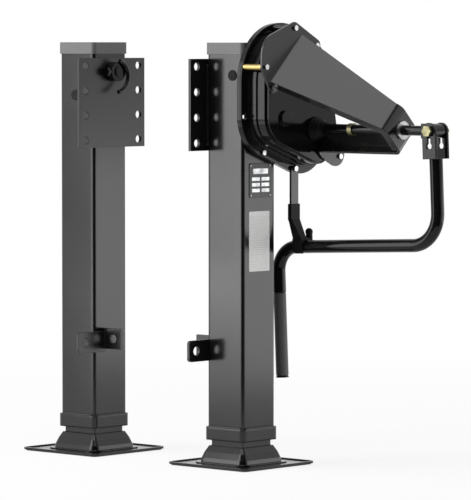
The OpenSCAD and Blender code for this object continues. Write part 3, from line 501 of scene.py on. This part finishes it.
def new_piece(name, shape, body, slot, *materials):
    """An object from a bmesh, riding on a body."""
    mesh = bpy.data.meshes.new(name)
    bmesh.ops.recalc_face_normals(shape, faces=shape.faces)
    shape.to_mesh(mesh)
    shape.free()
    for material in materials:
        mesh.materials.append(material)
    piece = bpy.data.objects.new(name, mesh)
    scene.collection.objects.link(piece)
    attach(piece, body)


def unique(items):
    """The items in their order, each once."""
    return list(dict.fromkeys(items))


def add_tile(shape, low, high, x, thick, corner, material=0):
    """A thin tile with round corners on the drive leg's outer face, from low to high in Y and Z."""
    width = high[0] - low[0]
    height = high[1] - low[1]
    place = Matrix.Translation((x + thick / 2, (low[0] + high[0]) / 2, (low[1] + high[1]) / 2))
    made = bmesh.ops.create_cube(shape, size=1.0, matrix=place @ Matrix.Diagonal((thick, width, height, 1)))
    faces = unique(face for vert in made["verts"] for face in vert.link_faces)
    for face in faces:
        face.material_index = material
    upright = [
        edge
        for edge in unique(edge for face in faces for edge in face.edges)
        if abs(edge.verts[0].co.x - edge.verts[1].co.x) > thick / 2
    ]
    bmesh.ops.bevel(
        shape, geom=upright, offset=corner, offset_type="OFFSET", segments=4, profile=0.5,
        affect="EDGES", material=-1,
    )


def make_name_plate():
    """A blank name plate: dark sheet, a pale band and empty fields, held by four rivets."""
    sheet = painted(
        "plate_ink", (0.016, 0.016, 0.018, 1), (0.3, 0.4), (0.3, 0.3, 0.3, 1), wear=0.6, dust=0.02
    )
    field = plated("plate_alloy", (0.62, 0.63, 0.64, 1), (0.4, 0.4, 0.41, 1), 0.36, streak=1400.0)
    low, high = NAME_PLATE
    shape = bmesh.new()
    add_tile(shape, low, high, TUBE_HALF, PLATE_SHEET, PLATE_CORNER)
    band_top = high[1] - BAND_INSET
    band_low = (low[0] + BAND_INSET, band_top - BAND_HEIGHT)
    band_high = (high[0] - BAND_INSET, band_top)
    add_tile(shape, band_low, band_high, FIELD_X, FIELD_SHEET, BAND_CORNER, 1)
    middle = (low[0] + high[0]) / 2
    columns = (
        (low[0] + FIELD_INSET, middle - FIELD_HALF_GAP),
        (middle + FIELD_HALF_GAP, high[0] - FIELD_INSET),
    )
    for row in range(FIELD_ROWS):
        top = high[1] - FIELD_TOP - row * FIELD_PITCH
        for start, end in columns:
            add_tile(shape, (start, top - FIELD_HEIGHT), (end, top), FIELD_X, FIELD_SHEET, FIELD_CORNER, 1)
    flatten = Matrix.Diagonal((RIVET_FLATNESS, 1, 1, 1))
    for y in (low[0] + RIVET_INSET, high[0] - RIVET_INSET):
        for z in (low[1] + RIVET_INSET, high[1] - RIVET_INSET):
            place = Matrix.Translation((TUBE_HALF + PLATE_SHEET, y, z)) @ flatten
            made = bmesh.ops.create_uvsphere(
                shape, u_segments=16, v_segments=10, radius=RIVET_RADIUS, matrix=place
            )
            for face in unique(face for vert in made["verts"] for face in vert.link_faces):
                face.material_index = 1
                face.smooth = True
    new_piece("name_plate", shape, "frame", "white_zinc", sheet, field)


def add_print(material):
    """Unreadable rows of grey print over a paper's colour."""
    tree = material.node_tree
    shader = tree.nodes["Principled BSDF"]
    place = object_place(tree)
    split = tree.nodes.new("ShaderNodeSeparateXYZ")
    tree.links.new(place, split.inputs["Vector"])
    phase = maths(tree, "FRACT", maths(tree, "DIVIDE", split.outputs["Z"], PRINT_PITCH), 0.0)
    row = remap(tree, phase, 0.42, 0.5, 0.0, 1.0)
    stretch = add_node(tree, "ShaderNodeMapping", inputs={"Scale": (0.0, 1.0, 0.45)})
    tree.links.new(place, stretch.inputs["Vector"])
    grain = noise(tree, stretch.outputs["Vector"], scale=420.0, detail=2.0, roughness=0.6)
    words = remap(tree, grain, 0.44, 0.52, 0.0, 1.0)
    print_top = STICKER[1][1] - PRINT_MARGIN
    inside = remap(tree, split.outputs["Z"], print_top, print_top + PRINT_FADE, 1.0, 0.0)
    marks = maths(tree, "MULTIPLY", row, words)
    ink = maths(tree, "MULTIPLY", marks, maths(tree, "MULTIPLY", inside, PRINT_STRENGTH))
    plain = shader.inputs["Base Color"].links[0].from_socket
    tree.links.new(blend_colour(tree, ink, plain, PRINT_GREY), shader.inputs["Base Color"])


def make_sticker():
    """A white sticker with unreadable print."""
    paper = painted(
        "sticker_paper", (0.9, 0.9, 0.89, 1), (0.4, 0.5), (0.7, 0.7, 0.68, 1),
        wear=0.5, dust=0.0, peel=0.05, radius=0.0004,
    )
    add_print(paper)
    shape = bmesh.new()
    add_tile(shape, STICKER[0], STICKER[1], TUBE_HALF, STICKER_SHEET, STICKER_CORNER)
    new_piece("blank_sticker", shape, "frame", "cap_grey", paper)


def add_bead(shape, start, end, radius, seed):
    """A weld bead laid from start to end: overlapping ripples drawn from one ring of edges."""
    start = Vector(start)
    end = Vector(end)
    run = end - start
    steps = max(6, int(run.length / (radius * 0.45)))
    turn = run.to_track_quat("Z", "Y").to_matrix().to_4x4()
    end_size = 0.5
    ring = bmesh.ops.create_circle(
        shape, cap_ends=True, segments=8, radius=radius * end_size, matrix=Matrix.Translation(start) @ turn
    )["verts"]
    edges = unique(edge for vert in ring for edge in vert.link_edges if all(v in ring for v in edge.verts))
    size = end_size
    for step in range(1, steps + 1):
        made = bmesh.ops.extrude_edge_only(shape, edges=edges)["geom"]
        ring = [item for item in made if isinstance(item, bmesh.types.BMVert)]
        drawn = [item for item in made if isinstance(item, bmesh.types.BMEdge)]
        edges = [edge for edge in drawn if all(v in ring for v in edge.verts)]
        ripple = 0.9 + 0.14 * math.sin(step * 2.1 + seed) + 0.06 * math.sin(step * 0.37 + seed)
        new_size = end_size if step == steps else ripple
        bmesh.ops.translate(shape, verts=ring, vec=run / steps)
        centre = start + run * step / steps
        grow = new_size / size
        bmesh.ops.scale(shape, verts=ring, vec=(grow, grow, grow), space=Matrix.Translation(-centre))
        size = new_size
    bmesh.ops.contextual_create(shape, geom=edges)


def make_welds():
    """Painted weld beads where plates and collars join the tubes."""
    shape = bmesh.new()
    low = PLATE_LOW + PLATE_BEAD_END
    high = PLATE_HIGH - PLATE_BEAD_END
    for x in (-TUBE_HALF + BEAD_LIFT, FOLLOWER_X + TUBE_HALF - BEAD_LIFT):
        for y in (-TUBE_HALF, TUBE_HALF):
            add_bead(shape, (x, y, low), (x, y, high), PLATE_BEAD, y * 90)
    reach = TUBE_HALF - COLLAR_BEAD_END
    top = COLLAR_TOP + COLLAR_BEAD_LIFT
    for middle in (0.0, FOLLOWER_X):
        for side in (-1, 1):
            across = side * (TUBE_HALF + BEAD_LIFT)
            add_bead(shape, (middle - reach, across, top), (middle + reach, across, top), COLLAR_BEAD, side)
            along = middle + across
            add_bead(shape, (along, -reach, top), (along, reach, top), COLLAR_BEAD, side + 3)
    for face in shape.faces:
        face.smooth = True
    new_piece("weld_beads", shape, "frame", "satin_grey", leg_paint)


make_name_plate()
make_sticker()
make_welds()


# Studio


def ray_seen(tree):
    """One for rays that show the surroundings: camera, mirror and see-through rays."""
    path = tree.nodes.new("ShaderNodeLightPath")
    shown = maths(tree, "MAXIMUM", path.outputs["Is Camera Ray"], path.outputs["Is Glossy Ray"])
    return maths(tree, "MAXIMUM", shown, path.outputs["Is Transmission Ray"])


def make_world():
    """White surroundings, and a plain level of soft light."""
    world = bpy.data.worlds.new("studio")
    world.use_nodes = True
    tree = world.node_tree
    soft = tree.nodes["Background"]
    soft.inputs["Color"].default_value = (1, 1, 1, 1)
    soft.inputs["Strength"].default_value = SOFT_LIGHT
    backdrop = add_node(tree, "ShaderNodeBackground", inputs={"Color": (1, 1, 1, 1), "Strength": 1.0})
    choose = tree.nodes.new("ShaderNodeMixShader")
    tree.links.new(ray_seen(tree), choose.inputs["Fac"])
    tree.links.new(soft.outputs["Background"], choose.inputs[1])
    tree.links.new(backdrop.outputs["Background"], choose.inputs[2])
    tree.links.new(choose.outputs["Shader"], tree.nodes["World Output"].inputs["Surface"])
    scene.world = world


def stage_object(name, shape, material):
    """A stage piece from a bmesh."""
    mesh = bpy.data.meshes.new(name)
    shape.to_mesh(mesh)
    shape.free()
    mesh.materials.append(material)
    made = bpy.data.objects.new(name, mesh)
    scene.collection.objects.link(made)
    return made


def make_floor():
    """A wide white floor that shows white, keeps a soft shadow and is clear from below."""
    material, tree, shader = blank_material("floor_white")
    shader.inputs["Base Color"].default_value = (0.86, 0.86, 0.86, 1)
    shader.inputs["Roughness"].default_value = 0.9
    shader.inputs["Specular IOR Level"].default_value = 0.0
    glow = add_node(tree, "ShaderNodeEmission", inputs={"Color": (1, 1, 1, 1), "Strength": 1.0})
    blend = tree.nodes.new("ShaderNodeMixShader")
    far = add_node(tree, "ShaderNodeVectorMath", operation="LENGTH")
    tree.links.new(object_place(tree), far.inputs[0])
    level = remap(tree, far.outputs["Value"], GLOW_NEAR, GLOW_FAR, GLOW_LEAST, 1.0)
    share = maths(tree, "MULTIPLY", ray_seen(tree), level)
    tree.links.new(share, blend.inputs["Fac"])
    tree.links.new(shader.outputs["BSDF"], blend.inputs[1])
    tree.links.new(glow.outputs["Emission"], blend.inputs[2])
    clear = tree.nodes.new("ShaderNodeBsdfTransparent")
    face = tree.nodes.new("ShaderNodeNewGeometry")
    one_sided = tree.nodes.new("ShaderNodeMixShader")
    tree.links.new(face.outputs["Backfacing"], one_sided.inputs["Fac"])
    tree.links.new(blend.outputs["Shader"], one_sided.inputs[1])
    tree.links.new(clear.outputs["BSDF"], one_sided.inputs[2])
    tree.links.new(one_sided.outputs["Shader"], tree.nodes["Material Output"].inputs["Surface"])
    shape = bmesh.new()
    bmesh.ops.create_circle(
        shape, cap_ends=True, segments=96, radius=FLOOR_RADIUS, matrix=Matrix.Translation((0, 0, -FLOOR_DROP))
    )
    stage_object("floor", shape, material)


def make_dark_screen():
    """A dark screen on the camera's side and one overhead, seen only where paint mirrors them."""
    material, _, shader = blank_material("screen_black")
    shader.inputs["Base Color"].default_value = (0.01, 0.01, 0.01, 1)
    shader.inputs["Roughness"].default_value = 1.0
    shader.inputs["Specular IOR Level"].default_value = 0.0
    azimuth = math.radians(CAMERA_AZIMUTH)
    shape = bmesh.new()
    foot = shape.verts.new(Vector((math.sin(azimuth), -math.cos(azimuth), 0)) * SCREEN_RADIUS)
    top = shape.verts.new(foot.co + Vector((0, 0, SCREEN_HEIGHT)))
    post = shape.edges.new((foot, top))
    span = math.radians(SCREEN_SPAN)
    bmesh.ops.rotate(
        shape, verts=[foot, top], cent=(0, 0, 0), matrix=Matrix.Rotation(-span / 2, 3, "Z")
    )
    bmesh.ops.spin(
        shape, geom=[foot, top, post], cent=(0, 0, 0), axis=(0, 0, 1), angle=span, steps=32, use_merge=False
    )
    bmesh.ops.create_circle(
        shape, cap_ends=True, segments=48, radius=CEILING_RADIUS,
        matrix=Matrix.Translation((0, 0, CEILING_HEIGHT)),
    )
    screen = stage_object("dark_screen", shape, material)
    screen.visible_camera = False
    screen.visible_diffuse = False
    screen.visible_shadow = False


def add_softbox(name, direction, distance, size, power, mirrored=True, height=LAMP_AIM_HEIGHT):
    """A lamp of that width and height that looks at the object, seen in mirroring paint or not."""
    lamp = bpy.data.lights.new(name, "AREA")
    lamp.shape = "RECTANGLE"
    lamp.size = size[0]
    lamp.size_y = size[1]
    lamp.energy = power
    holder = bpy.data.objects.new(name, lamp)
    toward = Vector(direction).normalized()
    holder.location = Vector((LAMP_AIM_X, 0, height)) + toward * distance
    holder.rotation_euler = toward.to_track_quat("Z", "Y").to_euler()
    holder.visible_camera = False
    holder.visible_glossy = mirrored
    scene.collection.objects.link(holder)


make_world()
make_floor()
make_dark_screen()
add_softbox("left_softbox", (-0.5, -0.866, 0.22), distance=4.0, size=(2.0, 6.0), power=132)
add_softbox("left_fill", (-0.80, -0.70, 0.22), distance=4.0, size=(4.2, 6.0), power=170, mirrored=False)
add_softbox("right_softbox", (0.74, 0.70, 0.0), distance=2.2, size=(1.8, 0.9), power=9, height=0.2)
add_softbox("left_low_card", (-0.5, -0.866, 0.0), distance=1.6, size=(1.0, 0.34), power=1.4, height=0.17)
add_softbox("top_softbox", (0.1, -0.2, 1.0), distance=4.0, size=(3.0, 3.0), power=70)
place_camera()
scene.view_settings.view_transform = "Standard"
